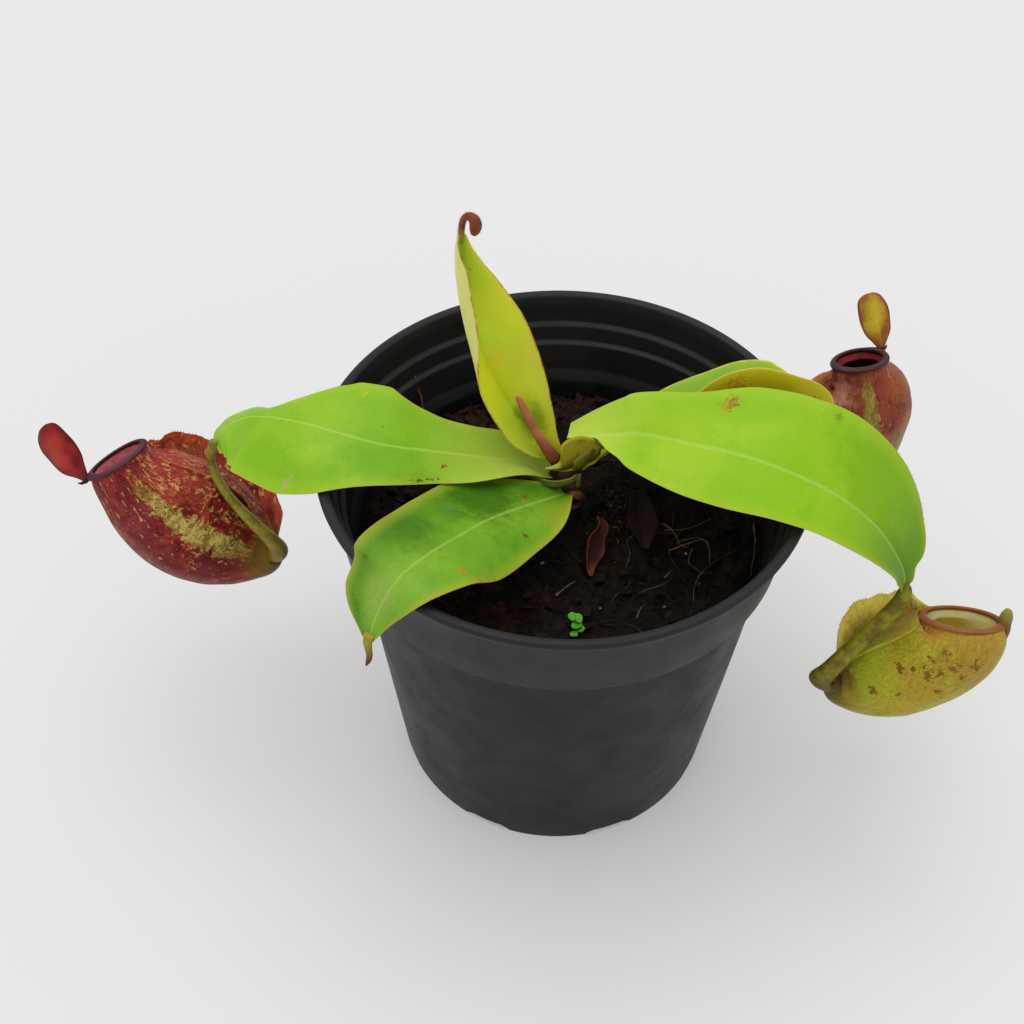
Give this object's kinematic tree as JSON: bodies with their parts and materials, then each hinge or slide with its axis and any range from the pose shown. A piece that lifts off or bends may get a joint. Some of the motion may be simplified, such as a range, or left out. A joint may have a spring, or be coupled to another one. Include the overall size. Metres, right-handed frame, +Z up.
{
  "type": "potted pitcher plant",
  "caption": "Tropical pitcher plant in a black nursery pot: arching strap leaves with a hanging hollow pitcher on a tendril at the tips, dark potting mix.",
  "frame": {"origin": "centre of the pot's underside, on the pot's axis, at the height of the surface it stands on", "axes": "+Z up along the pot's axis, +X towards the right-hand pitcher, which is the plant's greatest spread, -Y towards the viewer"},
  "size_m": [0.2657, 0.1351, 0.1754],
  "materials": {
    "pot_plastic": "matt moulded charcoal black",
    "potting_mix": "loose fibrous peat and bark, dark brown",
    "leaf_green": "waxy living leaf, bright yellow-green",
    "leaf_deep_green": "waxy living leaf, deeper green",
    "stem_olive": "smooth living stem, olive",
    "bud_brown": "downy brown bud",
    "spear_pink": "downy furled leaf, pinkish brown",
    "cup_red": "waxy red pitcher wall with green flecks",
    "cup_green": "waxy olive green pitcher wall with brown blotches",
    "cup_rose": "waxy rose pitcher wall with green streaks",
    "rim_maroon": "glossy ribbed rim, dark maroon",
    "rim_orange": "glossy ribbed rim, orange brown",
    "lid_red": "waxy red lid",
    "lid_amber": "waxy amber lid with a brown edge",
    "dead_brown": "dry curled leaf, dark brown"
  },
  "bodies": {
    "root": {"pot": "pot_plastic", "soil": "potting_mix", "stem": "stem_olive", "leaf_left": "leaf_green", "leaf_right": "leaf_green", "leaf_front": "leaf_deep_green", "leaf_young": "leaf_green", "leaf_back": "leaf_green", "leaf_front_stub": "dead_brown", "young_bud": "bud_brown", "new_leaf": "spear_pink", "tendril_left": "stem_olive", "tendril_right": "stem_olive", "tendril_back": "stem_olive", "cup_left": "cup_red", "cup_right": "cup_green", "cup_back": "cup_rose", "peristome_left": "rim_maroon", "peristome_right": "rim_orange", "peristome_back": "rim_maroon", "lid_left": "lid_red", "lid_right": "lid_amber", "lid_back": "lid_amber", "dry_leaf_a": "dead_brown", "dry_leaf_b": "dead_brown", "seedling": "leaf_green"}
  },
  "joints": []
}
